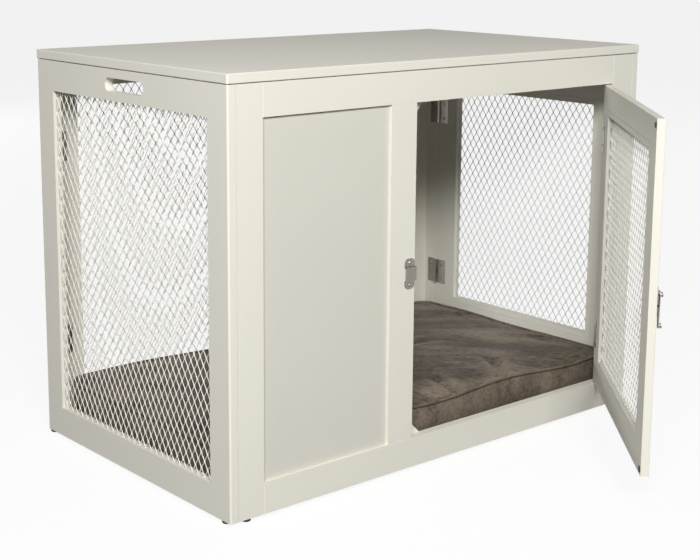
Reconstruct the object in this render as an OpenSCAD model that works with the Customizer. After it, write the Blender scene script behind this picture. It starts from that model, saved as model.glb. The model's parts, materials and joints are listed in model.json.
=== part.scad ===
// Furniture-style pet crate: a boarded cabinet with framed mesh sides, a hinged mesh door,
// a lift-off lid, a floor board on battens and a box cushion.
// Frame: origin on the floor at the centre of the cabinet's footprint, X to the right along the
// front, Y towards the back, Z up. The door stands open at rest, as it is used.

/* [Cabinet] */
// Outside width of the cabinet, left to right
crate_w = 915; // [860:1:1000]
// Outside depth of the cabinet, front to back
crate_d = 540; // [500:1:640]
// Height of the side, front and back panels
panel_h = 650; // [600:1:740]
// Thickness of the frame boards
board_t = 15; // [14:0.5:20]
// Width of the stiles and rails round each opening
frame_w = 50; // [44:1:60]
// Rounding of the cabinet's outer upright edges
edge_r = 3; // [1:0.5:5]

/* [Front] */
// Width of the front's left stile
front_left_w = 48; // [40:1:60]
// Width of the front's right stile
front_right_w = 54; // [46:1:60]
// Thickness of the recessed board
infill_t = 6; // [4:0.5:8]
// How far the recessed board lies behind the front face
infill_recess = 5; // [2:0.5:6.5]
// Depth of the groove that holds the recessed board
groove_d = 7; // [4:0.5:10]
// Width of the stile between the recessed board and the doorway
mid_stile_w = 53; // [46:1:60]
// Width of the doorway
doorway_w = 480; // [420:1:490]
// Width of the fine groove where the front's boards meet
seam_w = 0.8; // [0.4:0.1:1.5]

/* [Right side fold] */
// Width of the fixed strip behind the right panel
strip_w = 50; // [44:1:70]
// Gap between that strip and the right panel
fold_gap = 1; // [0.5:0.1:1.5]
// Width of the right panel's top rail
right_top_w = 100; // [80:1:130]
// Width of the right panel's bottom rail
right_bottom_w = 112; // [80:1:130]
// Width of the right panel's front stile
right_front_w = 85; // [60:1:110]

/* [Mesh] */
// Pitch of the diamonds across the sheet
mesh_pitch_x = 32.8; // [30:0.1:40]
// Pitch of the diamonds up the sheet
mesh_pitch_z = 49.6; // [44:0.1:60]
// Width of a strand of the mesh
strand_w = 3; // [2:0.1:4]
// Thickness of the mesh sheet
mesh_t = 1.2; // [1:0.1:2]
// Depth from a panel's outer face to the mesh
lip_t = 6; // [4:0.5:7]
// Width of the rebate and of the bead that holds the mesh in it
bead_w = 10; // [8:0.5:14]

/* [Hand slots] */
// Length of the hand slot in each side's top rail
slot_l = 110; // [90:1:130]
// Height of the hand slot
slot_h = 22; // [20:0.5:26]

/* [Door] */
// Thickness of the door
door_t = 13; // [12:0.1:13.2]
// Gap at the door's hinge edge
hinge_gap = 2.4; // [2.3:0.1:3]
// Gap round the door's other three edges
door_gap = 2; // [1.5:0.1:3]
// Rounding of the door's outer edges
door_edge_r = 1; // [0.4:0.1:3]
// How far the door stands open at rest, in degrees
door_open = 48; // [0:1:120]
// Side of the bumper pads on the door's inner face
pad_w = 8; // [6:0.5:12]
// Thickness of those pads
pad_t = 1.8; // [1:0.1:1.8]
// How far the pads lie in from the door's free edge
pad_in = 2; // [1:0.5:5]
// How far the pads lie in from the door's ends
pad_end = 6; // [4:0.5:10]
// Length of the part of each door stop's legs that shows in the doorway
stop_show = 30; // [20:1:40]
// How far each door stop reaches behind the frame
stop_hold = 12; // [9:1:18]
// Thickness of the door stops
stop_t = 3; // [2:0.5:5]

/* [Hinges] */
// Height of every hinge
hinge_h = 50; // [44:1:56]
// Radius of the hinge barrels
barrel_r = 3; // [2.6:0.1:3.4]
// Radius of the hinge pins
pin_r = 1.5; // [1.2:0.1:1.7]
// Running clearance between a pin and its knuckles
pin_clear = 0.05; // [0.03:0.01:0.08]
// Thickness of the hinge leaves
leaf_t = 1; // [0.8:0.05:1]
// Width of a leaf that lies flat on a board
leaf_w = 25; // [20:0.5:28]
// Height of the lower hinges above the panels' bottom edge
hinge_low = 160; // [120:1:200]
// Distance of the upper hinges below the panels' top edge
hinge_high = 150; // [120:1:200]
// Distance of the door's hinges from its ends
door_hinge_end = 92; // [70:1:130]
// Width of a door leaf's flap on the door's inner face
wrap_w = 20; // [16:0.5:24]

/* [Latch] */
// Height of the latch above the panels' bottom edge
latch_up = 327; // [290:1:360]
// Height of the keeper and of the latch case
keeper_h = 50; // [46:1:56]
// Width of the keeper
keeper_w = 22; // [18:0.5:26]
// Rounding of the keeper's corners
keeper_r = 8; // [4:0.5:9]
// Depth of the tunnel under the keeper's bridge
bridge_w = 4.2; // [3:0.1:6]
// Play between the tongue and the keeper's bridge
keeper_play = 0.5; // [0.4:0.05:1]
// Height of the sliding tongue
tongue_h = 20; // [19:0.5:24]
// Thickness of the tongue
tongue_t = 1.6; // [1.4:0.1:2.2]
// Travel of the tongue
tongue_travel = 10; // [8:0.5:11]
// Width of the latch case on the door
latch_w = 34; // [32:1:40]
// Rounding of the latch case's corners
case_r = 4; // [2:0.5:8]
// Wall of the pressed latch parts
press_t = 0.8; // [0.7:0.1:1.2]
// How far the spindle stands above the middle of the tongue
pivot_up = 5; // [3:0.5:5]
// Thickness of the crank arm
crank_t = 1; // [0.8:0.1:1.6]
// Radius of the crank pin
crank_pin_r = 1.3; // [1:0.1:1.5]
// Radius of the latch's spindle
spindle_r = 4; // [3.4:0.1:4.6]
// Length of the lever, from its pivot to its knob
lever_l = 48; // [42:1:60]
// Thickness of the lever
lever_t = 1.6; // [1.4:0.1:2.4]
// Radius of the lever's round upper end
hub_r = 6.5; // [5.5:0.1:8]
// Radius of the turned knob at the lever's end and of the spindle's head
knob_r = 4.2; // [3.6:0.1:5]
// Height of that knob and head
knob_h = 4.5; // [3:0.1:7]
// Gap between the latch's sliding and turning parts
latch_gap = 0.25; // [0.2:0.05:0.4]

/* [Screws] */
// Radius of the screws' shanks
screw_r = 1.5; // [1.2:0.1:1.8]
// Radius of the screws' heads
head_r = 2.9; // [2.5:0.1:3.2]
// Height of the screws' heads
head_h = 1.4; // [1:0.1:1.8]
// Length of the screws' shanks
screw_l = 9; // [7:0.5:9.5]

/* [Lid] */
// Thickness of the lid
lid_t = 15; // [14:0.5:22]
// Rounding of the lid's long edges
lid_edge_r = 1.5; // [0.5:0.1:4]
// How far the lid reaches past the panels
lid_over = 1; // [0:0.5:6]
// Thickness of the bumpers that the lid rests on
lid_bumper_t = 1; // [0.8:0.1:3]
// Radius of those bumpers
lid_bumper_r = 5; // [4:0.5:6]
// Side of the locating blocks under the lid
lid_block_w = 28; // [20:1:40]
// Height of the locating blocks
lid_block_h = 16; // [12:1:24]
// Gap between the locating blocks and the panels
lid_block_gap = 1.5; // [1:0.1:3]

/* [Corner brackets] */
// Length of each leg of the corner brackets
bracket_leg = 26; // [22:1:34]
// Height of the corner brackets
bracket_h = 30; // [26:1:40]
// Thickness of the corner brackets
bracket_t = 1.5; // [1.2:0.1:2]

/* [Floor and cushion] */
// Height of the glides under the panels
glide_h = 5; // [3:0.5:8]
// Radius of the glides
glide_r = 7.2; // [6:0.1:7.4]
// How far the side panels' front glides lie behind the front face
glide_in = 20; // [14:1:60]
// How far the outer glides of the front and the back lie inside the side panels
glide_end = 19; // [8:1:60]
// Thickness of the floor board
floor_t = 9; // [6:0.5:12]
// Height of the floor battens above the panels' bottom edge
batten_up = 4; // [2:1:10]
// Height of the floor battens
batten_h = 12; // [10:1:16]
// Width of the floor battens
batten_w = 18; // [16:1:24]
// Gap between the cabinet's inside and the floor board and cushion
floor_gap = 7.5; // [7:0.5:12]
// Height of the cushion at its piped edge
cushion_h = 68; // [50:1:90]
// Height of the cushion's crown above its piped edge
cushion_crown = 9; // [4:1:16]
// How far the cushion's sides are drawn in between the corners
cushion_draw = 5; // [2:1:8]
// Radius of the cushion's piping
piping_r = 3; // [2:0.5:4]

/* [Hidden] */
$fn = 40;

// Small clearances and cutting allowances
eps = 1;             // how far a cutting block runs past the face it opens
fit = 0.5;           // gap round the sheets and boards that sit in rebates and grooves
groove_play = 0.1;   // gap at each face of the recessed board in its groove
pilot_play = 0.2;    // radial gap round a screw in its hole
knuckle_gap = 0.4;   // gap between a barrel and the other leaf, and between knuckles
barrel_out = 0.2;    // how far the door's barrels stand clear of the front face
crank_play = 0.5;    // gap round the crank pin in the tongue's slot
inner_r = 1;         // rounding of the side panels' inner front edges

// The cabinet's planes
hx = crate_w / 2;
hy = crate_d / 2;
in_x = hx - board_t;
in_y = hy - board_t;
z_bottom = glide_h;
z_top = z_bottom + panel_h;
open_z0 = z_bottom + frame_w;
open_z1 = z_top - frame_w;

// The front's divisions, left to right
infill_x0 = -in_x + front_left_w;
doorway_x1 = in_x - front_right_w;
doorway_x0 = doorway_x1 - doorway_w;
mid_x0 = doorway_x0 - mid_stile_w;

// The right panel ends short of the fixed strip
right_y1 = hy - strip_w - fold_gap;

// The closed door and its hinge axis
door_x0 = doorway_x0 + door_gap;
door_x1 = doorway_x1 - hinge_gap;
door_z0 = open_z0 + door_gap;
door_z1 = open_z1 - door_gap;
door_axis = [doorway_x1 - hinge_gap / 2, -hy - barrel_r - barrel_out];

// Heights of the hinges and the corner brackets
fold_z = [z_bottom + hinge_low, z_top - hinge_high];
door_hinge_z = [door_z0 + door_hinge_end, door_z1 - door_hinge_end];
screw_dz = hinge_h * 0.3;

// The latch, in its own frame: x from the door's free edge inwards, y up, z away from the door
latch_z = z_bottom + latch_up;
crank_r = tongue_travel / sqrt(2);
tongue_lift = 0.25;
tongue_top = tongue_lift + tongue_t;
crank_z0 = tongue_top + latch_gap;
cover_z0 = crank_z0 + crank_t + latch_gap;
cover_z1 = cover_z0 + press_t;
lever_z0 = max(cover_z1, bridge_w + press_t) + latch_gap;
case_x0 = 1;
pivot_x = case_x0 + latch_w / 2;
channel = tongue_h / 2 + latch_gap;
arm_wall = 0.8;
tongue_x0 = 0.5;
tongue_l = pivot_x + tongue_travel / 2 + crank_pin_r + crank_play + 4 - tongue_x0;
ear_y = (channel + press_t + keeper_h / 2) / 2;

// The floor and the cushion
floor_z0 = z_bottom + batten_up + batten_h;
floor_z1 = floor_z0 + floor_t;
cushion_gap = 0.3;
cushion_a = in_x - floor_gap;
cushion_b = in_y - floor_gap;
lid_z0 = z_top + lid_bumper_t;

// Colours
cream = [0.87, 0.86, 0.81];
nickel = [0.72, 0.70, 0.66];
coated_wire = [0.85, 0.84, 0.79];
rubber = [0.2, 0.2, 0.2];
suede = [0.42, 0.37, 0.32];

// Places its children on an outer face of the cabinet: x along the face, y up, z outwards.
module on_face(turn, out) {
    rotate([90, 0, turn]) translate([0, 0, out]) children();
}
module on_front() { on_face(0, hy) children(); }
module on_back() { on_face(180, hy) children(); }
module on_left() { on_face(-90, hx) children(); }
module on_right() { on_face(90, hx) children(); }

// Turns what is drawn on the closed door to the door's open rest pose.
module at_door() {
    translate(door_axis) rotate([0, 0, door_open]) translate(-door_axis) children();
}
// Places its children on the latch: origin on the door's free edge at the latch's height.
module at_latch() {
    at_door() translate([door_x0, -hy, latch_z]) rotate([90, 0, 0]) children();
}

// One board of a panel, from its outer face inwards.
module board(x0, x1, z0, z1, t = board_t) {
    translate([x0, z0, -t]) cube([x1 - x0, z1 - z0, t]);
}
// The space of the rebate round an opening, open to the panel's inner face.
module rebate(x0, x1, z0, z1, t = board_t) {
    translate([x0 - bead_w, z0 - bead_w, -t - eps])
        cube([x1 - x0 + 2 * bead_w, z1 - z0 + 2 * bead_w, t - lip_t + eps]);
}
// The waste outside a rounded upright edge whose corner stands at x, at the depth z.
// side is 1 where the board lies to the left of x; face is 1 where it lies behind z.
module edge_waste(x, z, side, face, r) {
    translate([x, z_bottom - eps, z]) mirror([side < 0 ? 1 : 0, 0, 0]) mirror([0, 0, face < 0 ? 1 : 0])
        rotate([-90, 0, 0]) linear_extrude(panel_h + 2 * eps) difference() {
            translate([-r, -eps]) square([r + eps, r + eps]);
            translate([-r, r]) circle(r);
        }
}

// A sheet of diamond mesh for an opening, its cells fitted to the opening and cut by its edges.
module mesh_sheet(x0, x1, z0, z1) {
    w = x1 - x0;
    h = z1 - z0;
    nx = round(w / mesh_pitch_x);
    nz = round(h / mesh_pitch_z);
    a = w / nx / 2;
    b = h / nz / 2;
    shrink = 1 - strand_w / 2 * norm([a, b]) / (a * b);
    cells = concat(
        [for (i = [0 : nx], j = [0 : nz]) if (i % nx > 0 || j % nz > 0) [2 * i * a, 2 * j * b]],
        [for (i = [0 : nx - 1], j = [0 : nz - 1]) [(2 * i + 1) * a, (2 * j + 1) * b]]);
    translate([x0, z0, -lip_t - mesh_t]) linear_extrude(mesh_t) difference() {
        translate([fit - bead_w, fit - bead_w]) square([w + 2 * (bead_w - fit), h + 2 * (bead_w - fit)]);
        for (c = cells) polygon([
            [min(c.x + a * shrink, w), c.y], [c.x, min(c.y + b * shrink, h)],
            [max(c.x - a * shrink, 0), c.y], [c.x, max(c.y - b * shrink, 0)]]);
    }
}
// The four beads that hold a sheet in its rebate, mitred into one ring of strips.
module beads(x0, x1, z0, z1, t = board_t) {
    long = x1 - x0 + 2 * (bead_w - fit);
    high = z1 - z0;
    for (z = [z0 - bead_w + fit, z1]) translate([x0 - bead_w + fit, z, -t])
        cube([long, bead_w - fit, t - lip_t - mesh_t]);
    for (x = [x0 - bead_w + fit, x1]) translate([x, z0, -t])
        cube([bead_w - fit, high, t - lip_t - mesh_t]);
}
// A stadium-shaped slot, as an outline.
module slot_outline(l, h) {
    square([l - h, h], center = true);
    for (s = [-1, 1]) translate([s * (l - h) / 2, 0]) circle(h / 2);
}
module hand_slot(x) {
    translate([x, (open_z1 + z_top) / 2, -board_t - eps]) linear_extrude(board_t + 2 * eps)
        slot_outline(slot_l, slot_h);
}

// A screw whose head stands on z = 0, with its shank pointing down.
module screw(l = screw_l) {
    rotate_extrude() polygon([[0, -l], [screw_r, 1 - l], [screw_r, 0], [head_r, 0],
        [head_r, head_h * 0.35], [head_r * 0.6, head_h], [0, head_h]]);
}
module pilot(l = screw_l) {
    translate([0, 0, -l - 0.5]) cylinder(h = l + 0.5 + eps, r = screw_r + pilot_play);
}
// A flat-headed screw, flush with z = 0, and the hole that it seats in.
module flush_screw(l = screw_l) {
    rotate_extrude() polygon([[0, -l], [screw_r, 1 - l], [screw_r, -leaf_t], [screw_r + leaf_t, 0], [0, 0]]);
}
module flush_hole() {
    rotate_extrude() polygon([[0, -leaf_t - eps], [screw_r + pilot_play, -leaf_t - eps],
        [screw_r + pilot_play, -leaf_t], [screw_r + leaf_t + pilot_play, 0],
        [screw_r + leaf_t + pilot_play, eps], [0, eps]]);
}

// Folding hinges: the barrel on the local z axis, the wall at y = -barrel_r, the leaf towards +x.
module at_fixed_leaves() {
    for (z = fold_z) {
        translate([in_x - barrel_r, right_y1 + fold_gap / 2, z]) rotate([0, 0, 90]) children();
        translate([barrel_r - in_x, in_y - barrel_r, z]) rotate([0, 0, 180]) mirror([1, 0, 0]) children();
    }
}
module at_side_leaves() {
    for (z = fold_z) {
        translate([in_x - barrel_r, right_y1 + fold_gap / 2, z]) rotate([0, 0, 90]) mirror([1, 0, 0]) children();
        translate([barrel_r - in_x, in_y - barrel_r, z]) rotate([0, 0, -90]) children();
    }
}
module at_leaf_screws() {
    for (s = [-1, 1])
        translate([(barrel_r + knuckle_gap + leaf_w) / 2, leaf_t - barrel_r, s * screw_dz])
            rotate([-90, 0, 0]) children();
}
// The heights of a hinge's knuckles: the two outer ones, or the one between them.
function knuckles(outer) = outer ? [-hinge_h / 3, hinge_h / 3] : [0];
module knuckle_bore() { cylinder(h = hinge_h + 2 * eps, r = pin_r + pin_clear, center = true); }
module hinge_leaf(outer) {
    reach = barrel_r + knuckle_gap;
    difference() {
        union() {
            translate([reach, -barrel_r, -hinge_h / 2]) cube([leaf_w - reach, leaf_t, hinge_h]);
            for (z = knuckles(outer)) translate([0, 0, z])
                linear_extrude(hinge_h / 3 - knuckle_gap, center = true) {
                    circle(barrel_r);
                    translate([0, -barrel_r]) square([reach + eps, leaf_t]);
                }
        }
        knuckle_bore();
        at_leaf_screws() pilot();
    }
}
// A hinge pin with a low round head on top.
module hinge_pin() {
    translate([0, 0, -hinge_h / 2]) rotate_extrude() polygon([[0, 0], [pin_r, 0], [pin_r, hinge_h + 0.1],
        [barrel_r - 0.4, hinge_h + 0.1], [barrel_r - 0.8, hinge_h + 1.2], [0, hinge_h + 1.2]]);
}

// Door hinges: the barrel on the local z axis, outside the gap between the door and its stile.
leaf_y0 = barrel_r + barrel_out + 0.3;
frame_leaf_x = hinge_gap / 2 - leaf_t;
frame_leaf_y1 = barrel_r + barrel_out + board_t - 1;
door_leaf_y1 = barrel_r + barrel_out + door_t + leaf_t;
module at_door_hinges() {
    for (z = door_hinge_z) translate([door_axis.x, door_axis.y, z]) children();
}
module at_reveal_screws() {
    for (s = [-1, 1]) translate([frame_leaf_x, (leaf_y0 + frame_leaf_y1) / 2 + 1, s * screw_dz])
        rotate([0, -90, 0]) children();
}
module at_wrap_screws() {
    for (s = [-1, 1]) translate([-hinge_gap / 2 - wrap_w * 0.55, door_leaf_y1, s * screw_dz])
        rotate([-90, 0, 0]) children();
}
module door_barrel(outer, x) {
    for (z = knuckles(outer)) translate([0, 0, z])
        linear_extrude(hinge_h / 3 - knuckle_gap, center = true) {
            circle(barrel_r);
            translate([x, 0]) square([leaf_t, leaf_y0 + eps]);
        }
}
module frame_leaf() {
    difference() {
        union() {
            door_barrel(true, frame_leaf_x);
            translate([frame_leaf_x, leaf_y0, -hinge_h / 2]) cube([leaf_t, frame_leaf_y1 - leaf_y0, hinge_h]);
        }
        knuckle_bore();
        at_reveal_screws() flush_hole();
    }
}
module door_leaf() {
    difference() {
        union() {
            door_barrel(false, -hinge_gap / 2);
            translate([-hinge_gap / 2, leaf_y0, -hinge_h / 2]) cube([leaf_t, door_leaf_y1 - leaf_y0, hinge_h]);
            translate([-hinge_gap / 2 - wrap_w, door_leaf_y1 - leaf_t, -hinge_h / 2])
                cube([wrap_w + leaf_t, leaf_t, hinge_h]);
        }
        knuckle_bore();
        at_wrap_screws() pilot();
    }
}

// A pressed strap along x, raised into a tunnel between two ears.
module strap(w, half, depth, r) {
    intersection() {
        rotate([90, 0, 90]) linear_extrude(w) difference() {
            union() {
                translate([-keeper_h / 2, 0]) square([keeper_h, press_t]);
                translate([-half - press_t, 0]) square([2 * (half + press_t), depth + press_t]);
            }
            translate([-half, -eps]) square([2 * half, depth + eps]);
        }
        translate([w / 2, 0, -eps]) linear_extrude(depth + press_t + 2 * eps) round_plate(w, keeper_h, r);
    }
}
module round_plate(w, h, r) {
    square([w, h - 2 * r], center = true);
    square([w - 2 * r, h], center = true);
    for (x = [-1, 1], y = [-1, 1]) translate([x * (w / 2 - r), y * (h / 2 - r)]) circle(r);
}
function ear_mid(half) = (half + press_t + keeper_h / 2) / 2;
keeper_half = tongue_h / 2 + keeper_play;
module at_keeper() { on_front() translate([doorway_x0 - keeper_w, latch_z, 0]) children(); }
module at_keeper_screws() {
    at_keeper() for (s = [-1, 1]) translate([keeper_w / 2, s * ear_mid(keeper_half), press_t]) children();
}
module at_latch_screws() {
    at_latch() for (x = [-1, 1], y = [-1, 1])
        translate([pivot_x + x * latch_w * 0.27, y * ear_mid(channel), press_t]) children();
}

// Door stops: three-cornered plates behind the frame at the doorway's free-edge corners.
stop_leg = stop_show + 2 * stop_hold;
module at_stops() {
    translate([doorway_x0 - stop_hold, open_z1 + stop_hold, -board_t - stop_t]) children();
    translate([doorway_x0 - stop_hold, open_z0 - stop_hold, -board_t - stop_t]) mirror([0, 1, 0]) children();
}
module at_stop_screws() {
    on_front() at_stops() for (p = [[0.5, -1.8], [1.8, -0.5]])
        translate([p.x * stop_hold, p.y * stop_hold, 0]) rotate([180, 0, 0]) children();
}

// Corner brackets: their corner lies in the angle between the front and a side.
module at_brackets() {
    for (z = fold_z, m = [0, 1]) mirror([m, 0, 0]) translate([-in_x, -in_y, z]) children();
}
module at_bracket_screws() {
    at_brackets() for (s = [-1, 1]) {
        translate([bracket_leg * 0.62, bracket_t, s * bracket_h * 0.27]) rotate([-90, 0, 0]) children();
        translate([bracket_t, bracket_leg * 0.62, s * bracket_h * 0.27]) rotate([0, 90, 0]) children();
    }
}

// Back panel
back_x = in_x - frame_w;
module back_board(x0, x1, z0, z1) {
    on_back() difference() {
        board(x0, x1, z0, z1);
        rebate(-back_x, back_x, open_z0, open_z1);
    }
}
module back_left_stile() {
    color(cream) difference() {
        back_board(back_x, in_x, z_bottom, z_top);
        at_fixed_leaves() at_leaf_screws() pilot();
    }
}
module back_right_stile() { color(cream) back_board(-in_x, -back_x, z_bottom, z_top); }
module back_top_rail() { color(cream) back_board(-back_x, back_x, open_z1, z_top); }
module back_bottom_rail() { color(cream) back_board(-back_x, back_x, z_bottom, open_z0); }
module back_mesh() { color(coated_wire) on_back() mesh_sheet(-back_x, back_x, open_z0, open_z1); }
module back_beads() { color(cream) on_back() beads(-back_x, back_x, open_z0, open_z1); }

// Left panel
left_x = hy - frame_w;
module left_board(x0, x1, z0, z1) {
    on_left() difference() {
        board(x0, x1, z0, z1);
        rebate(-left_x, left_x, open_z0, open_z1);
    }
}
module left_front_stile() {
    color(cream) difference() {
        left_board(left_x, hy, z_bottom, z_top);
        on_left() edge_waste(hy, 0, 1, 1, edge_r);
        on_left() edge_waste(hy, -board_t, 1, -1, inner_r);
        at_bracket_screws() pilot();
    }
}
module left_rear_stile() {
    color(cream) difference() {
        left_board(-hy, -left_x, z_bottom, z_top);
        on_left() edge_waste(-hy, 0, -1, 1, edge_r);
        at_side_leaves() at_leaf_screws() pilot();
    }
}
module left_top_rail() {
    color(cream) difference() {
        left_board(-left_x, left_x, open_z1, z_top);
        on_left() hand_slot(0);
    }
}
module left_bottom_rail() { color(cream) left_board(-left_x, left_x, z_bottom, open_z0); }
module left_mesh() { color(coated_wire) on_left() mesh_sheet(-left_x, left_x, open_z0, open_z1); }
module left_beads() { color(cream) on_left() beads(-left_x, left_x, open_z0, open_z1); }

// Right panel, shorter than the left one by the fixed strip behind it
right_x0 = right_front_w - hy;
right_x1 = right_y1 - frame_w;
right_z0 = z_bottom + right_bottom_w;
right_z1 = z_top - right_top_w;
module right_board(x0, x1, z0, z1) {
    on_right() difference() {
        board(x0, x1, z0, z1);
        rebate(right_x0, right_x1, right_z0, right_z1);
    }
}
module right_front_stile() {
    color(cream) difference() {
        right_board(-hy, right_x0, z_bottom, z_top);
        on_right() edge_waste(-hy, 0, -1, 1, edge_r);
        on_right() edge_waste(-hy, -board_t, -1, -1, inner_r);
        at_bracket_screws() pilot();
    }
}
module right_rear_stile() {
    color(cream) difference() {
        right_board(right_x1, right_y1, z_bottom, z_top);
        at_side_leaves() at_leaf_screws() pilot();
    }
}
module right_top_rail() {
    color(cream) difference() {
        right_board(right_x0, right_x1, right_z1, z_top);
        on_right() hand_slot(0);
    }
}
module right_bottom_rail() { color(cream) right_board(right_x0, right_x1, z_bottom, right_z0); }
module right_mesh() { color(coated_wire) on_right() mesh_sheet(right_x0, right_x1, right_z0, right_z1); }
module right_beads() { color(cream) on_right() beads(right_x0, right_x1, right_z0, right_z1); }
module return_strip() {
    color(cream) difference() {
        on_right() board(hy - strip_w, hy, z_bottom, z_top);
        on_right() edge_waste(hy, 0, 1, 1, edge_r);
        at_fixed_leaves() at_leaf_screws() pilot();
    }
}

// Front, with the groove that holds the recessed board
module infill_groove() {
    translate([infill_x0 - groove_d, open_z0 - groove_d, -infill_recess - infill_t - groove_play])
        cube([mid_x0 - infill_x0 + 2 * groove_d, open_z1 - open_z0 + 2 * groove_d, infill_t + 2 * groove_play]);
}
// Half of the fine V groove at a joint of the front face, cut along the edge of one board: side is 1
// where the board lies right of or above the joint, and -1 where it lies left of or below it.
seam_over = 0.2;
module upright_seam(x, side) {
    translate([x, z_top + seam_over, 0]) rotate([90, 0, 0]) seam(panel_h + 2 * seam_over, side);
}
module level_seam(x0, x1, z, side) { translate([x0, z, 0]) rotate([90, 0, 90]) seam(x1 - x0, side); }
module seam(l, side) {
    linear_extrude(l) polygon([[-side * seam_over, -seam_w / 2 - seam_over],
        [side * (seam_w / 2 + seam_over), seam_over], [-side * seam_over, seam_over]]);
}
module front_left_stile() {
    color(cream) difference() {
        on_front() board(-in_x, infill_x0, z_bottom, z_top);
        on_front() upright_seam(infill_x0, -1);
        on_front() infill_groove();
        at_bracket_screws() pilot();
    }
}
module front_mid_stile() {
    color(cream) difference() {
        on_front() board(mid_x0, doorway_x0, open_z0, open_z1);
        on_front() level_seam(mid_x0 - seam_over, doorway_x0 + seam_over, open_z0, 1);
        on_front() level_seam(mid_x0 - seam_over, doorway_x0 + seam_over, open_z1, -1);
        on_front() infill_groove();
        at_keeper_screws() pilot();
        at_stop_screws() pilot();
    }
}
module front_right_stile() {
    color(cream) difference() {
        on_front() board(doorway_x1, in_x, z_bottom, z_top);
        on_front() upright_seam(doorway_x1, 1);
        at_bracket_screws() pilot();
        at_door_hinges() at_reveal_screws() pilot();
    }
}
module front_rail(z0, z1, seam_z, side) {
    color(cream) difference() {
        on_front() board(infill_x0, doorway_x1, z0, z1);
        on_front() infill_groove();
        on_front() upright_seam(infill_x0, 1);
        on_front() upright_seam(doorway_x1, -1);
        on_front() level_seam(mid_x0, doorway_x0, seam_z, side);
        at_stop_screws() pilot();
    }
}
module front_top_rail() { front_rail(open_z1, z_top, open_z1, 1); }
module front_bottom_rail() { front_rail(z_bottom, open_z0, open_z0, -1); }
module infill_board() {
    reach = groove_d - fit;
    color(cream) on_front() translate([infill_x0 - reach, open_z0 - reach, -infill_recess - infill_t])
        cube([mid_x0 - infill_x0 + 2 * reach, open_z1 - open_z0 + 2 * reach, infill_t]);
}
module corner_brackets() {
    color(nickel) difference() {
        at_brackets() linear_extrude(bracket_h, center = true) {
            square([bracket_leg, bracket_t]);
            square([bracket_t, bracket_leg]);
        }
        at_bracket_screws() pilot();
    }
}
module bracket_screws() { color(nickel) at_bracket_screws() screw(); }

module fold_hinge_back_leaves() { color(nickel) at_fixed_leaves() hinge_leaf(true); }
module fold_hinge_side_leaves() { color(nickel) at_side_leaves() hinge_leaf(false); }
module fold_hinge_pins() { color(nickel) at_fixed_leaves() hinge_pin(); }
module fold_hinge_screws() {
    color(nickel) {
        at_fixed_leaves() at_leaf_screws() screw();
        at_side_leaves() at_leaf_screws() screw();
    }
}
module door_hinge_frame_leaves() { color(nickel) at_door_hinges() frame_leaf(); }
module door_hinge_pins() { color(nickel) at_door_hinges() hinge_pin(); }
module door_hinge_frame_screws() { color(nickel) at_door_hinges() at_reveal_screws() flush_screw(); }
module keeper() {
    color(nickel) difference() {
        at_keeper() strap(keeper_w, keeper_half, bridge_w, keeper_r);
        at_keeper_screws() pilot();
    }
}
module keeper_screws() { color(nickel) at_keeper_screws() screw(); }
module door_stops() {
    color(cream) difference() {
        on_front() at_stops() linear_extrude(stop_t) polygon([[0, 0], [stop_leg, 0], [0, -stop_leg]]);
        at_stop_screws() pilot();
    }
}
module door_stop_screws() { color(nickel) at_stop_screws() screw(); }
module glides() {
    side_x = hx - board_t / 2;
    end_x = in_x - glide_end;
    end_y = hy - board_t / 2;
    rear = hy - glide_r - 1;
    color(rubber) for (p = [[-side_x, glide_in - hy], [-side_x, rear], [side_x, glide_in - hy], [side_x, rear],
            [side_x, right_y1 - 2 * glide_r], [-end_x, -end_y], [end_x, -end_y], [-end_x, end_y], [end_x, end_y]])
        translate(p) rotate_extrude() polygon([[0, 0], [glide_r - 1.4, 0], [glide_r - 0.4, 0.7],
            [glide_r, 1.8], [glide_r, glide_h], [0, glide_h]]);
}
module floor_battens() {
    color(cream) translate([0, 0, z_bottom + batten_up]) {
        for (x = [-in_x, in_x - batten_w]) translate([x, -in_y, 0]) cube([batten_w, 2 * in_y, batten_h]);
        for (y = [-in_y, in_y - batten_w]) translate([batten_w - in_x, y, 0])
            cube([2 * (in_x - batten_w), batten_w, batten_h]);
    }
}
module floor_board() {
    color(cream) translate([-cushion_a, -cushion_b, floor_z0]) cube([2 * cushion_a, 2 * cushion_b, floor_t]);
}

// Door
door_o = [door_x0 + frame_w, door_x1 - frame_w, door_z0 + frame_w, door_z1 - frame_w];
module door_board(x0, x1, z0, z1) {
    w = door_x1 - door_x0;
    h = door_z1 - door_z0;
    at_door() on_front() difference() {
        intersection() {
            board(x0, x1, z0, z1, door_t);
            translate([(door_x0 + door_x1) / 2, (door_z0 + door_z1) / 2, -door_t / 2]) intersection() {
                rotate([90, 0, 0]) linear_extrude(h + 2 * eps, center = true) round_plate(w, door_t, door_edge_r);
                rotate([90, 0, 90]) linear_extrude(w + 2 * eps, center = true) round_plate(h, door_t, door_edge_r);
            }
        }
        rebate(door_o[0], door_o[1], door_o[2], door_o[3], door_t);
    }
}
module door_hinge_stile() {
    color(cream) difference() {
        door_board(door_o[1], door_x1, door_z0, door_z1);
        at_door() at_door_hinges() at_wrap_screws() pilot();
    }
}
module door_latch_stile() {
    color(cream) difference() {
        door_board(door_x0, door_o[0], door_z0, door_z1);
        at_latch_screws() pilot();
    }
}
module door_top_rail() { color(cream) door_board(door_o[0], door_o[1], door_o[3], door_z1); }
module door_bottom_rail() { color(cream) door_board(door_o[0], door_o[1], door_z0, door_o[2]); }
module door_mesh() { color(coated_wire) at_door() on_front() mesh_sheet(door_o[0], door_o[1], door_o[2], door_o[3]); }
module door_beads() {
    color(cream) at_door() on_front() beads(door_o[0], door_o[1], door_o[2], door_o[3], door_t);
}
module door_hinge_door_leaves() { color(nickel) at_door() at_door_hinges() door_leaf(); }
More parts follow.
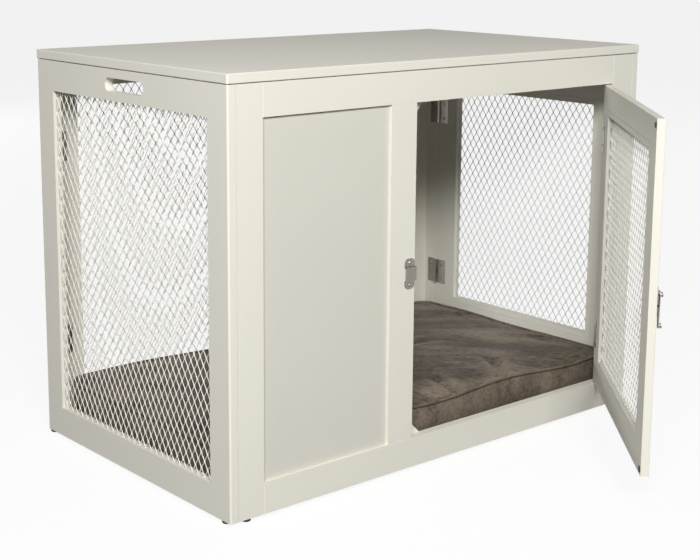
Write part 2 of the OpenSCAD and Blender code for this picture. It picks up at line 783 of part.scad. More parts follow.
module door_hinge_door_screws() { color(nickel) at_door() at_door_hinges() at_wrap_screws() screw(); }
module door_pads() {
    color(rubber) at_door() on_front() for (z = [door_z0 + pad_end, door_z1 - pad_end - pad_w])
        translate([door_x0 + pad_in, z, -door_t - pad_t]) cube([pad_w, pad_w, pad_t]);
}

// Latch
module latch_case() {
    color(nickel) difference() {
        at_latch() translate([case_x0, 0, 0]) strap(latch_w, channel, cover_z0, case_r);
        at_latch() translate([pivot_x, pivot_up, 0]) cylinder(h = cover_z1 + eps, r = spindle_r + pin_clear);
        at_latch_screws() pilot();
    }
}
module latch_screws() { color(nickel) at_latch_screws() screw(); }
module latch_tongue() {
    y_low = pivot_up - crank_r;
    y_high = pivot_up - tongue_travel / 2;
    slot_r = crank_pin_r + crank_play;
    color(nickel) at_latch() translate([0, 0, tongue_lift]) linear_extrude(tongue_t) difference() {
        translate([tongue_x0, 0]) polygon([[3, -tongue_h / 2], [tongue_l, -tongue_h / 2],
            [tongue_l, tongue_h / 2], [3, tongue_h / 2], [0, tongue_h / 2 - 3], [0, 3 - tongue_h / 2]]);
        translate([pivot_x + tongue_travel / 2, 0]) {
            translate([-slot_r, y_low]) square([2 * slot_r, y_high - y_low]);
            for (y = [y_low, y_high]) translate([0, y]) circle(slot_r);
        }
    }
}
// A turned knob that stands on z = 0, waisted for the fingers.
module knob() {
    waist_r = knob_r * 0.74;
    rotate_extrude() polygon([[0, 0], [knob_r * 0.9, 0], [knob_r, knob_h * 0.1], [knob_r, knob_h * 0.22],
        [waist_r, knob_h * 0.36], [waist_r, knob_h * 0.58], [knob_r, knob_h * 0.72],
        [knob_r, knob_h * 0.88], [knob_r * 0.86, knob_h], [0, knob_h]]);
}
module latch_crank() {
    neck_r = spindle_r - 1;
    rivet_z = lever_z0 + lever_t + 0.1;
    color(nickel) at_latch() translate([pivot_x, pivot_up, 0]) {
        translate([0, 0, crank_z0]) linear_extrude(crank_t) union() {
            circle(spindle_r + arm_wall);
            rotate(-45) translate([0, -crank_pin_r - arm_wall])
                square([crank_r, 2 * (crank_pin_r + arm_wall)]);
            translate([tongue_travel / 2, -tongue_travel / 2]) circle(crank_pin_r + arm_wall);
        }
        rotate_extrude() polygon([[0, crank_z0], [spindle_r, crank_z0], [spindle_r, lever_z0],
            [neck_r, lever_z0], [neck_r, rivet_z + 0.2], [0, rivet_z + 0.2]]);
        translate([0, 0, rivet_z]) knob();
        translate([tongue_travel / 2, -tongue_travel / 2, tongue_lift + 0.2])
            cylinder(h = crank_z0 - tongue_lift, r = crank_pin_r);
    }
}
module latch_lever() {
    color(nickel) at_latch() translate([pivot_x, pivot_up, lever_z0]) {
        linear_extrude(lever_t) difference() {
            union() {
                circle(hub_r);
                translate([0, -lever_l]) circle(knob_r);
                polygon([[-hub_r, 0], [hub_r, 0], [knob_r, -lever_l], [-knob_r, -lever_l]]);
            }
            circle(spindle_r - 1 + pin_clear);
        }
        translate([0, -lever_l, lever_t - 0.2]) knob();
    }
}

// Lid
module lid() {
    w = crate_w + 2 * lid_over;
    d = crate_d + 2 * lid_over;
    color(cream) translate([0, 0, lid_z0 + lid_t / 2]) intersection() {
        linear_extrude(lid_t, center = true) round_plate(w, d, edge_r);
        rotate([90, 0, 0]) linear_extrude(d + 2 * eps, center = true) round_plate(w, lid_t, lid_edge_r);
        rotate([90, 0, 90]) linear_extrude(w + 2 * eps, center = true) round_plate(d, lid_t, lid_edge_r);
    }
}
module lid_blocks() {
    x = in_x - lid_block_gap - lid_block_w / 2;
    y = in_y - lid_block_gap - lid_block_w / 2;
    color(cream) for (i = [-1, 1], j = [-1, 1]) translate([i * x, j * y, lid_z0 - lid_block_h / 2])
        cube([lid_block_w, lid_block_w, lid_block_h], center = true);
}
module lid_bumpers() {
    side_x = hx - board_t / 2;
    side_y = hy - board_t / 2;
    color(rubber) for (i = [-1, 1], j = [-1, 1]) {
        translate([i * side_x, j * (hy - 75), z_top]) cylinder(h = lid_bumper_t, r = lid_bumper_r);
        translate([i * (hx - 200), j * side_y, z_top]) cylinder(h = lid_bumper_t, r = lid_bumper_r);
    }
}

// Cushion: rings of one outline, piped at both edges, under a crowned top.
corner_r = 26;
side_steps = 13;
function drawn_side(d, l) = [for (j = [0 : side_steps]) let (s = 2 * j / side_steps - 1)
    [d - cushion_draw * (1 - s * s), s * (l - corner_r)]];
function corner_arc(d, l) = [for (t = [22.5, 45, 67.5]) [d - corner_r * (1 - cos(t)), l - corner_r * (1 - sin(t))]];
function quarter(d, l) = concat(drawn_side(d, l), corner_arc(d, l));
cushion_outline = concat(
    quarter(cushion_a, cushion_b),
    [for (p = quarter(cushion_b, cushion_a)) [-p.y, p.x]],
    [for (p = quarter(cushion_a, cushion_b)) -p],
    [for (p = quarter(cushion_b, cushion_a)) [p.y, -p.x]]);
cushion_walls = [[-5, 0], [0, piping_r], [-3.5, 2 * piping_r], [-1.5, cushion_h / 2],
    [-3.5, cushion_h - 2 * piping_r], [0, cushion_h - piping_r], [-4, cushion_h]];
cushion_crowns = [for (s = [0.96, 0.88, 0.74, 0.56, 0.34, 0.14])
    [(s - 1), cushion_h + cushion_crown * (1 - pow(s, 4))]];
function ring_at(off, z) = [for (p = cushion_outline)
    [p.x * (1 + off / cushion_a), p.y * (1 + off / cushion_b), z]];
function ring_scaled(s, z) = [for (p = cushion_outline) [p.x * s, p.y * s, z]];
module cushion() {
    n = len(cushion_outline);
    rings = concat([for (w = cushion_walls) ring_at(w[0], w[1])],
        [for (c = cushion_crowns) ring_scaled(1 + c[0], c[1])]);
    m = len(rings);
    points = concat([for (r = rings, p = r) p], [[0, 0, 0], [0, 0, cushion_h + cushion_crown]]);
    walls = [for (k = [0 : m - 2], i = [0 : n - 1]) let (a = k * n + i, b = k * n + (i + 1) % n)
        each [[a, a + n, b + n], [a, b + n, b]]];
    caps = [for (i = [0 : n - 1]) let (j = (i + 1) % n)
        each [[i, j, m * n], [(m - 1) * n + j, (m - 1) * n + i, m * n + 1]]];
    color(suede) translate([0, 0, floor_z1 + cushion_gap]) polyhedron(points, concat(walls, caps));
}

back_left_stile();
back_right_stile();
back_top_rail();
back_bottom_rail();
back_mesh();
back_beads();
left_front_stile();
left_rear_stile();
left_top_rail();
left_bottom_rail();
left_mesh();
left_beads();
right_front_stile();
right_rear_stile();
right_top_rail();
right_bottom_rail();
right_mesh();
right_beads();
return_strip();
front_left_stile();
front_mid_stile();
front_right_stile();
front_top_rail();
front_bottom_rail();
infill_board();
corner_brackets();
bracket_screws();
fold_hinge_back_leaves();
fold_hinge_side_leaves();
fold_hinge_pins();
fold_hinge_screws();
door_hinge_frame_leaves();
door_hinge_pins();
door_hinge_frame_screws();
keeper();
keeper_screws();
door_stops();
door_stop_screws();
glides();
floor_battens();
floor_board();
door_hinge_stile();
door_latch_stile();
door_top_rail();
door_bottom_rail();
door_mesh();
door_beads();
door_hinge_door_leaves();
door_hinge_door_screws();
door_pads();
latch_case();
latch_screws();
latch_tongue();
latch_crank();
latch_lever();
lid();
lid_blocks();
lid_bumpers();
cushion();
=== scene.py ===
"""A painted pet crate with mesh sides, its door ajar, on a plain pale floor."""

import json
import math

import bmesh
import bpy
from mathutils import Matrix, Vector, noise


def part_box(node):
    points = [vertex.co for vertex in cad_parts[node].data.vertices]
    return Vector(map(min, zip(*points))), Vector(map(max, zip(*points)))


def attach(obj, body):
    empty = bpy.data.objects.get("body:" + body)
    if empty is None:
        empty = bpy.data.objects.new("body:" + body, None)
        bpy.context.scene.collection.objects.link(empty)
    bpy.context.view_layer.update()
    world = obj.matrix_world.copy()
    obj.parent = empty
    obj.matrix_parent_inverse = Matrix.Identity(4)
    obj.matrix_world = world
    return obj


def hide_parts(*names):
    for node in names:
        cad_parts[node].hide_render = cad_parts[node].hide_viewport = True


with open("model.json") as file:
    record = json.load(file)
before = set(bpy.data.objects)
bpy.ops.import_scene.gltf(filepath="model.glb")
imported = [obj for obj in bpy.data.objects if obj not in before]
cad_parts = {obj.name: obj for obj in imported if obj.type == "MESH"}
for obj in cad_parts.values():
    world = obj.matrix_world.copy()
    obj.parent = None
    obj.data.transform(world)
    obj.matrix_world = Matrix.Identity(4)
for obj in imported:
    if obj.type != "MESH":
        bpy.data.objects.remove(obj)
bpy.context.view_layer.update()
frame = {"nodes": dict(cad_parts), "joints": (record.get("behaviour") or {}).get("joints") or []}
scene = bpy.context.scene


# The view: a camera a little above the lid, off the front left corner, looking across the crate at the
# open door. Its axis lies above the picture's middle, so the lens is shifted down.
picture_width, picture_height = 700, 560
axis_u, axis_v = 330, 200
focal_pixels = 1409.3
camera_place = (-1.6107, -1.85555, 0.85826)
yaw, pitch, roll = 0.7023, 0.1845, 0.0054


def add_object(name, data):
    """Puts a mesh, a lamp or the camera in the scene."""
    added = bpy.data.objects.new(name, data)
    scene.collection.objects.link(added)
    return added


camera_data = bpy.data.cameras.new("camera")
camera_data.sensor_width = 36
camera_data.lens = focal_pixels / picture_width * camera_data.sensor_width
camera_data.shift_x = (picture_width / 2 - axis_u) / picture_width
camera_data.shift_y = (axis_v - picture_height / 2) / picture_width
camera_data.clip_end = 100
camera = add_object("camera", camera_data)
forward = Vector((math.sin(yaw) * math.cos(pitch), math.cos(yaw) * math.cos(pitch), -math.sin(pitch)))
level = Vector((math.cos(yaw), -math.sin(yaw), 0))
upright = level.cross(forward)
right = level * math.cos(roll) + upright * math.sin(roll)
above = upright * math.cos(roll) - level * math.sin(roll)
turn = Matrix((right, above, -forward)).transposed().to_4x4()
camera.matrix_world = Matrix.Translation(camera_place) @ turn
scene.camera = camera
scene.view_settings.view_transform = "Standard"


# The studio: a white floor that runs out of sight and a white sky, which both look white to the camera
# and light the crate only a little, one large soft lamp beside the camera, and two weak ones, behind the
# crate and at its right.
floor_reach = 30
paper_unseen, paper_seen = (0.10, 0.10, 0.10), (0.95, 0.95, 0.95)
paper_glow = 0.87
sky_unseen, sky_seen = 0.03, 1.0
white = (1, 1, 1)
crate_middle = Vector((0, 0, 0.33))


class Socket:
    """An output of a shader node. Sums on it add Math nodes."""

    def __init__(self, tree, link):
        self.tree, self.link = tree, link

    def sum(self, operation, *terms):
        node = self.tree.nodes.new("ShaderNodeMath")
        node.operation = operation
        for socket, term in zip(node.inputs, terms):
            if isinstance(term, Socket):
                self.tree.links.new(term.link, socket)
            else:
                socket.default_value = term
        return Socket(self.tree, node.outputs[0])

    def __add__(self, other):
        return self.sum("ADD", self, other)

    def __sub__(self, other):
        return self.sum("SUBTRACT", self, other)

    def __rsub__(self, other):
        return self.sum("SUBTRACT", other, self)

    def __mul__(self, other):
        return self.sum("MULTIPLY", self, other)

    __radd__ = __add__
    __rmul__ = __mul__


class Nodes:
    """The nodes of a material or of the world."""

    def __init__(self, tree):
        self.tree = tree

    def node(self, kind, settings=None, sockets=None, output=0):
        """Adds a node: its settings first, then the values or links of its sockets."""
        node = self.tree.nodes.new("ShaderNode" + kind)
        for name, value in (settings or {}).items():
            setattr(node, name, value)
        for name, value in (sockets or {}).items():
            self.set(node.inputs[name], value)
        return Socket(self.tree, node.outputs[output])

    def set(self, socket, value):
        if isinstance(value, Socket):
            self.tree.links.new(value.link, socket)
        elif hasattr(value, "__len__") and len(value) == 3 and socket.type == "RGBA":
            socket.default_value = (*value, 1)
        else:
            socket.default_value = value

    def seen_or_mirrored(self):
        """1 for what the camera sees, straight or in metal or glass, and 0 for what lights a surface."""
        rays = [self.node("LightPath", output=f"Is {kind} Ray")
                for kind in ("Camera", "Glossy", "Transmission")]
        return rays[0].sum("MAXIMUM", rays[0], rays[1].sum("MAXIMUM", rays[1], rays[2]))


class Finish(Nodes):
    """A material with a Principled shader, and the nodes that feed it."""

    def __init__(self, name, **constants):
        self.material = bpy.data.materials.new(name)
        self.material.use_nodes = True
        super().__init__(self.material.node_tree)
        self.shader = self.tree.nodes["Principled BSDF"]
        for words, value in constants.items():
            self.set(self.shader.inputs[words.replace("_", " ").title().replace("Ior", "IOR")], value)

    def feed(self, **sockets):
        """Links values to the shader, by its sockets' names."""
        for words, value in sockets.items():
            self.set(self.shader.inputs[words.replace("_", " ").title()], value)

    def place(self, scale=(1, 1, 1)):
        """Coordinates on the object, in metres, stretched by scale."""
        place = self.node("TexCoord", output="Object")
        return self.node("VectorMath", {"operation": "MULTIPLY"}, {0: place, 1: scale})

    def grain(self, size, detail=2.0, scale=(1, 1, 1), rough=0.5, place=None):
        """Noise from 0 to 1 whose patches are about size metres across."""
        return self.node("TexNoise", {}, {"Vector": place or self.place(scale), "Scale": 1 / size,
                                          "Detail": detail, "Roughness": rough})

    def blend(self, factor, dark, light):
        return self.node("Mix", {"data_type": "RGBA"}, {0: factor, 6: dark, 7: light}, output=2)

    def bump(self, height, depth, strength=1.0):
        return self.node("Bump", {}, {"Height": height, "Distance": depth, "Strength": strength})


floor_corners = [(x * floor_reach, y * floor_reach, 0) for x, y in ((-1, -1), (1, -1), (1, 1), (-1, 1))]
floor_mesh = bpy.data.meshes.new("studio_floor")
floor_mesh.from_pydata(floor_corners, [], [(0, 1, 2, 3)])
floor = add_object("studio_floor", floor_mesh)

paper = Finish("studio paper", roughness=0.9)
paper.feed(base_color=paper.blend(paper.seen_or_mirrored(), paper_unseen, paper_seen))
glow = paper.node("Emission", {}, {"Color": white, "Strength": 1.0})
lit_paper = Socket(paper.tree, paper.shader.outputs[0])
paper_look = paper.node("MixShader", {},
                        {0: paper.seen_or_mirrored() * paper_glow, 1: lit_paper, 2: glow})
paper.set(paper.tree.nodes["Material Output"].inputs["Surface"], paper_look)
floor_mesh.materials.append(paper.material)

sky = bpy.data.worlds.new("sky")
scene.world = sky
sky.use_nodes = True
air = Nodes(sky.node_tree)
sky_light, sky_look = (air.node("Background", {}, {"Color": white, "Strength": strength})
                       for strength in (sky_unseen, sky_seen))
air.set(air.tree.nodes["World Output"].inputs["Surface"],
        air.node("MixShader", {}, {0: air.seen_or_mirrored(), 1: sky_light, 2: sky_look}))


def soft_lamp(name, azimuth, elevation, distance, width, height, watts):
    """A lamp aimed at the crate. Azimuth 0 is in front of it, and 90 is at its right."""
    data = bpy.data.lights.new(name, "AREA")
    data.shape, data.size, data.size_y, data.energy = "RECTANGLE", width, height, watts
    turned, raised = math.radians(azimuth), math.radians(elevation)
    way = Vector((math.sin(turned) * math.cos(raised), -math.cos(turned) * math.cos(raised),
                  math.sin(raised)))
    lamp = add_object(name, data)
    lamp.location = crate_middle + way * distance
    lamp.rotation_euler = way.to_track_quat("Z", "Y").to_euler()


soft_lamp("key_lamp", azimuth=-40, elevation=29.5, distance=4.5, width=2.4, height=0.8, watts=238)
soft_lamp("back_lamp", azimuth=180, elevation=4, distance=5.0, width=2.0, height=0.6, watts=60)
soft_lamp("right_lamp", azimuth=85, elevation=4, distance=5.0, width=2.0, height=0.6, watts=68)


# The boards: solid stiles and rails and one pressed board, rolled with a warm off-white paint of low
# sheen. The roller leaves a faint stipple, and the wood's grain tells through along each board.
def from_screen(red, green, blue):
    """A colour read off a screen, from 0 to 255, as linear light."""
    return tuple(((c / 255 + 0.055) / 1.055) ** 2.4 for c in (red, green, blue))


def toned(colour, tone):
    return tuple(c * tone for c in colour)


cream = from_screen(228, 225, 213)
pressed_board_tone = 0.85
grain_stretch = 0.03


def paint(name, lengthwise, tone=1.0):
    """The paint on boards whose grain runs along the axis that lengthwise leaves short."""
    finish = Finish(name, roughness=0.6, specular_ior_level=0.15)
    cloud = finish.grain(0.3, 3)
    stipple = finish.grain(0.0012, 2)
    fibres = finish.grain(0.0035, 3, lengthwise)
    finish.feed(
        base_color=finish.blend(cloud * 0.75 + fibres * 0.25, toned(cream, tone * 0.955),
                                toned(cream, tone * 1.03)),
        roughness=0.56 + cloud * 0.08 + fibres * 0.06,
        normal=finish.bump(stipple * 0.5 + fibres, 0.00006, 0.4),
    )
    return finish


def dress(finish, *names):
    """Gives CAD nodes a finish."""
    for name in names:
        mesh = frame["nodes"][name].data
        mesh.materials.clear()
        mesh.materials.append(finish.material)


dress(paint("off-white paint, upright grain", (1, 1, grain_stretch)),
      "back_left_stile", "back_right_stile", "left_front_stile", "left_rear_stile", "right_front_stile",
      "right_rear_stile", "return_strip", "front_left_stile", "front_mid_stile", "front_right_stile",
      "door_hinge_stile", "door_latch_stile", "door_stops")
dress(paint("off-white paint, grain along x", (grain_stretch, 1, 1)),
      "back_top_rail", "back_bottom_rail", "back_beads", "front_top_rail", "front_bottom_rail",
      "door_top_rail", "door_bottom_rail", "door_beads", "floor_board", "floor_battens", "lid",
      "lid_blocks")
dress(paint("off-white paint, grain along y", (1, grain_stretch, 1)),
      "left_top_rail", "left_bottom_rail", "left_beads",
      "right_top_rail", "right_bottom_rail", "right_beads")
dress(paint("off-white paint on pressed board", (1, 1, 0.2), pressed_board_tone), "infill_board")


# The mesh sheets: steel, slit and stretched into upright diamonds, so that each strand stands a little
# askew, then painted like the boards. Each sheet is held in a rebate behind the edges of its opening.
diamond_width, diamond_height = 0.0164, 0.0248
strand_half = 0.00088
bond_half = 0.0021
strand_lean = 0.0005
sheet_half = 0.00035
sheet_overlap = 0.0094
mesh_white = from_screen(238, 236, 228)
x_axis, y_axis, z_axis = Vector((1, 0, 0)), Vector((0, 1, 0)), Vector((0, 0, 1))

coated = Finish("painted mesh", roughness=0.5, specular_ior_level=0.3)
coated.feed(
    base_color=coated.blend(coated.grain(0.02), toned(mesh_white, 0.95), mesh_white),
    roughness=0.44 + coated.grain(0.002) * 0.14,
)


def held_in(value, length):
    """A place along a side of the sheet, no further than its edge in the rebate."""
    return min(max(value, -sheet_overlap), length + sheet_overlap)


def diamond_sheet(name, width, height, matrix, lean):
    """A sheet for an opening of that size: x across, y up, z out of the panel, from a lower corner.
    Lean is how far each strand's edges stand out of the sheet; its sign is the way they are turned."""
    across, up = round(width / diamond_width), round(height / diamond_height)
    a, b = width / across / 2, height / up / 2
    slant = strand_half * math.hypot(a, b)
    side, tip = a - slant / b, b - slant / a
    centres = [(2 * i * a, 2 * j * b) for i in range(across + 1) for j in range(up + 1)]
    centres += [((2 * i + 1) * a, (2 * j + 1) * b)
                for i in range(-1, across + 1) for j in range(-1, up + 1)]
    # A diamond's points on each face of the sheet: 0 to 5 round its hole, and 6 to 9 in the strands.
    ring = [(6, 0, 1, 7), (7, 1, 2), (7, 2, 3, 8), (8, 3, 4, 9), (9, 4, 5), (9, 5, 0, 6)]
    strands = [(0, b, 0), (a, 0, 0), (0, -b, 0), (-a, 0, 0)]
    points, faces = [], []
    for x, y in centres:
        askew = lean if 0 <= x <= width and 0 <= y <= height else 0
        hole = [(0, tip, 0), (side, bond_half, askew), (side, -bond_half, askew),
                (0, -tip, 0), (-side, -bond_half, -askew), (-side, bond_half, -askew)]
        outer = len(points)
        inner = outer + len(hole + strands)
        for half in (sheet_half, -sheet_half):
            points += [(held_in(x + dx, width), held_in(y + dy, height), dz + half)
                       for dx, dy, dz in hole + strands]
        faces += [tuple(outer + k for k in reversed(face)) for face in ring]
        faces += [tuple(inner + k for k in face) for face in ring]
        faces += [(outer + k, outer + (k + 1) % 6, inner + (k + 1) % 6, inner + k) for k in range(6)]
    mesh = bpy.data.meshes.new(name)
    mesh.from_pydata([matrix @ Vector(p) for p in points], [], faces)
    shaped = bmesh.new()
    shaped.from_mesh(mesh)
    bmesh.ops.remove_doubles(shaped, verts=shaped.verts, dist=0.00002)
    bmesh.ops.recalc_face_normals(shaped, faces=shaped.faces)
    shaped.to_mesh(mesh)
    shaped.free()
    mesh.materials.append(coated.material)
    return add_object(name, mesh)


def facing(origin, x, y, z):
    """A matrix from a flat piece's own frame to that place and those three directions."""
    return Matrix.Translation(origin) @ Matrix((x, y, z)).transposed().to_4x4()


def hang(sheet, node, body):
    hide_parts(node)
    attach(sheet, body)


# The three fixed sheets: the stiles beside each, the ways that run along it and out of it, and its lean.
for panel, first, last, along, out, lean in (
        ("back", "left_stile", "right_stile", x_axis, y_axis, 0),
        ("left", "front_stile", "rear_stile", -y_axis, -x_axis, strand_lean),
        ("right", "front_stile", "rear_stile", y_axis, x_axis, 0)):
    run, depth = (0, 1) if along.x else (1, 0)
    start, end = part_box(f"{panel}_{first}")[1][run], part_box(f"{panel}_{last}")[0][run]
    sill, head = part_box(f"{panel}_bottom_rail")[1].z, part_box(f"{panel}_top_rail")[0].z
    low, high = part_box(f"{panel}_mesh")
    corner = Vector((0, 0, sill))
    corner[run] = start if along[run] > 0 else end
    corner[depth] = (low[depth] + high[depth]) / 2
    sheet = diamond_sheet(f"{panel}_sheet", end - start, head - sill,
                          facing(corner, along, z_axis, out), lean)
    hang(sheet, f"{panel}_mesh", "carcass")

# The door's sheet, laid out in the closed door and turned with it.
hinge = next(joint for joint in frame["joints"] if joint["name"] == "door_hinge")
pivot = Vector(hinge["pos_m"])
ajar = math.radians(-hinge["range_deg"][0])
opened = Matrix.Translation(pivot) @ Matrix.Rotation(ajar, 4, "Z") @ Matrix.Translation(-pivot)


def closed_box(node):
    """The lowest and highest corners of a piece of the door, as if the door were closed."""
    places = [opened.inverted() @ vertex.co for vertex in frame["nodes"][node].data.vertices]
    return tuple(Vector([pick(p[axis] for p in places) for axis in range(3)]) for pick in (min, max))


start, end = closed_box("door_latch_stile")[1].x, closed_box("door_hinge_stile")[0].x
sill, head = closed_box("door_bottom_rail")[1].z, closed_box("door_top_rail")[0].z
low, high = closed_box("door_mesh")
corner = (start, (low.y + high.y) / 2, sill)
sheet = diamond_sheet("door_sheet", end - start, head - sill,
                      opened @ facing(corner, x_axis, z_axis, -y_axis), -strand_lean)
hang(sheet, "door_mesh", "door")


# The hinges, brackets, keeper and latch: pressed steel with a satin nickel plate, a little duller where
# it has been handled.
nickel = Finish("satin nickel", metallic=1.0, roughness=0.3)
tarnish = nickel.grain(0.012, 4)
draw_lines = nickel.grain(0.0006, 2, (1, 1, 0.08))
nickel.feed(
    base_color=nickel.blend(tarnish, (0.25, 0.235, 0.205), (0.42, 0.395, 0.35)),
    roughness=0.24 + tarnish * 0.16,
    normal=nickel.bump(draw_lines, 0.00003, 0.3),
)
dress(nickel, "corner_brackets", "fold_hinge_back_leaves", "fold_hinge_side_leaves", "fold_hinge_pins",
      "door_hinge_frame_leaves", "door_hinge_pins", "keeper", "door_hinge_door_leaves", "latch_case",
      "latch_tongue", "latch_crank", "latch_lever")


# The screws: flush and raised heads, each with a cross recess, nickelled like the hinges. They keep the
# source's shapes and places, and the flat of each head is made anew round its recess.
arm_share, arm_half_share = 0.62, 0.14
recess_depth_share, recess_bottom_share = 0.4, 0.75


def loose_screws(shaped):
    """The vertices of each screw in a mesh of several."""
    reached, screws = set(), []
    for seed in shaped.verts:
        if seed in reached:
            continue
        screw, front = {seed}, [seed]
        while front:
            for edge in front.pop().link_edges:
                fresh = [vertex for vertex in edge.verts if vertex not in screw]
                screw.update(fresh)
                front += fresh
        reached |= screw
        screws.append(screw)
    return screws


def corners_of(faces):
    return {vertex for face in faces for vertex in face.verts}


def flat_of_head(screw):
    """The largest flat disc on a screw. The ring under a raised head is flat too, but a disc without a
    hole has two faces fewer than corners."""
    flats = {}
    for face in {face for vertex in screw for face in vertex.link_faces}:
        flats.setdefault(tuple(round(part, 2) + 0.0 for part in face.normal), []).append(face)
    discs = [faces for faces in flats.values() if len(corners_of(faces)) == len(faces) + 2]
    return max(discs, key=lambda faces: sum(face.calc_area() for face in faces))


def cut_cross(shaped, flat):
    """Makes a flat anew, with a cross recess in it, turned another way for each place."""
    axis = flat[0].normal.copy()
    rim = corners_of(flat)
    centre = sum((vertex.co for vertex in rim), Vector()) / len(rim)
    radius = max((vertex.co - centre).length for vertex in rim)
    bmesh.ops.delete(shaped, geom=flat, context="FACES")
    u = Matrix.Rotation(noise.noise(centre * 700) * math.pi, 3, axis) @ axis.orthogonal().normalized()
    v = axis.cross(u)
    arm, half = arm_share * radius, arm_half_share * radius
    outline = [(arm, half), (half, half), (half, arm), (-half, arm), (-half, half), (-arm, half),
               (-arm, -half), (-half, -half), (-half, -arm), (half, -arm), (half, -half), (arm, -half)]
    places = [u * x + v * y for x, y in outline]
    cross = [shaped.verts.new(centre + place) for place in places]
    bottom = [shaped.verts.new(centre + place * recess_bottom_share - axis * radius * recess_depth_share)
              for place in places]

    def bearing(vertex):
        away = vertex.co - centre
        return math.atan2(away.dot(v), away.dot(u)) % math.tau

    # The faces between the rim and the cross, in turn round the centre.
    rings = (sorted(rim, key=bearing), cross)
    steps = [(bearing(vertex), which, k)
             for which, ring in enumerate(rings) for k, vertex in enumerate(ring)]
    reached = [rings[0][-1], rings[1][-1]]
    for _, which, k in sorted(steps):
        shaped.faces.new((reached[0], rings[which][k], reached[1]))
        reached[which] = rings[which][k]
    for k in range(len(cross)):
        shaped.faces.new((cross[k - 1], cross[k], bottom[k], bottom[k - 1]))
    shaped.faces.new(bottom)


def cross_headed(node):
    """A copy of a node's screws with a cross recess in each head."""
    shaped = bmesh.new()
    shaped.from_mesh(frame["nodes"][node].data)
    bmesh.ops.remove_doubles(shaped, verts=shaped.verts, dist=0.000002)
    for screw in loose_screws(shaped):
        cut_cross(shaped, flat_of_head(screw))
    bmesh.ops.recalc_face_normals(shaped, faces=shaped.faces)
    mesh = bpy.data.meshes.new(node + "_cross")
    shaped.to_mesh(mesh)
    shaped.free()
    mesh.materials.append(nickel.material)
    return add_object(node + "_cross", mesh)


for body, nodes in (("carcass", ("bracket_screws", "fold_hinge_screws", "door_hinge_frame_screws",
                                 "keeper_screws", "door_stop_screws")),
                    ("door", ("door_hinge_door_screws", "latch_screws"))):
    for node in nodes:
        piece = cross_headed(node)
        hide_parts(node)
        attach(piece, body)


# The glides, the lid's bumpers and the pads that the door closes on: moulded from black rubber, and
# pressed or stuck to the boards.
black = Finish("black rubber", roughness=0.7)
black.feed(
    base_color=black.blend(black.grain(0.004, 3), (0.020, 0.020, 0.019), (0.045, 0.044, 0.042)),
    roughness=0.6 + black.grain(0.001) * 0.2,
)
dress(black, "glides", "door_pads", "lid_bumpers")


# The cushion: a foam slab in a boxed cover of crushed suede, with piping sewn into both edges. The cover
# is cut a little slack, so it bellies out between the seams and puckers along them, and the front edge
# has been leant on.
low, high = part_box("cushion")
half_x, half_y = high.x, high.y
piping_radius = 0.0038
seam_inset = 0.008
corner_radius = 0.028
draw_in = 0.005
lower_seam, upper_seam = low.z + piping_radius, low.z + 0.065
boxing_height = upper_seam - lower_seam
crown = 0.008
boxing_belly = 0.0055
hem_reach = 0.004
cell = 0.0075
boxing_rows = 9
slack = 0.015
swell_steps = 20
most_on_top, most_on_sides = 0.004, 0.003
front_wave, wave_length, wave_start, wave_reach = 0.0045, 0.33, 0.165, 0.12
rest_wave = 0.006


def in_outline(x, y, inset):
    """A point of the plain slab, moved so that the corners are round and the sides are drawn in."""
    rest_x, rest_y = half_x - inset - corner_radius, half_y - inset - corner_radius
    s, t = abs(x) - rest_x, abs(y) - rest_y
    if s > 0 and t > 0:
        reach, angle = max(s, t), math.pi / 4 * (t / s if s > t else 2 - s / t)
        s, t = reach * math.cos(angle), reach * math.sin(angle)
    x, y = math.copysign(rest_x + s, x), math.copysign(rest_y + t, y)
    return (x * (1 - draw_in / half_x * (1 - (y / half_y) ** 2)),
            y * (1 - draw_in / half_y * (1 - (x / half_x) ** 2)))


def leant_on(x, y, z):
    """The height of a point of the cover after use: the front edge dips and rises, the rest less."""
    front = math.exp(-(y + half_y) / wave_reach)
    wave = front_wave * math.cos(math.tau * (x - wave_start) / wave_length) * front
    wave += rest_wave * noise.noise(Vector((x * 5, y * 5, 3))) * (1 - front)
    return z + wave * min(max((z - lower_seam) / boxing_height, 0), 1)


# The cover starts as a grid for the top, one for the bottom, and rows round the boxing between them.
across, deep = (round(2 * (half - seam_inset) / cell) for half in (half_x, half_y))
rim = [(i, 0) for i in range(across)] + [(across, j) for j in range(deep)]
rim += [(i, deep) for i in range(across, 0, -1)] + [(0, j) for j in range(deep, 0, -1)]
points, faces, sewn = [], [], []


def cover_point(i, j, z, inset):
    u, v = 2 * i / across - 1, 2 * j / deep - 1
    x, y = in_outline(u * (half_x - inset), v * (half_y - inset), inset)
    points.append((x, y, leant_on(x, y, z)))
    return len(points) - 1


top, bottom = {}, {}
for i in range(across + 1):
    for j in range(deep + 1):
        u, v = abs(2 * i / across - 1), abs(2 * j / deep - 1)
        to_edge = min(1 - u, (1 - v) * half_y / half_x) * half_x
        top[i, j] = cover_point(i, j, upper_seam + crown * (1 - u ** 10) * (1 - v ** 6), seam_inset)
        hem = piping_radius * math.exp(-to_edge / hem_reach)
        bottom[i, j] = cover_point(i, j, low.z + hem, seam_inset)
        sewn += [bottom[i, j]] + [top[i, j]] * (to_edge < cell / 3)
for i in range(across):
    for j in range(deep):
        corners = [(i, j), (i + 1, j), (i + 1, j + 1), (i, j + 1)]
        faces.append(tuple(top[corner] for corner in corners))
        faces.append(tuple(bottom[corner] for corner in reversed(corners)))
rings = [[bottom[corner] for corner in rim]]
for row in range(1, boxing_rows):
    rise = row / boxing_rows
    inset = seam_inset - boxing_belly * math.sin(math.pi * rise) ** 0.7
    rings.append([cover_point(i, j, lower_seam + boxing_height * rise, inset) for i, j in rim])
rings.append([top[corner] for corner in rim])
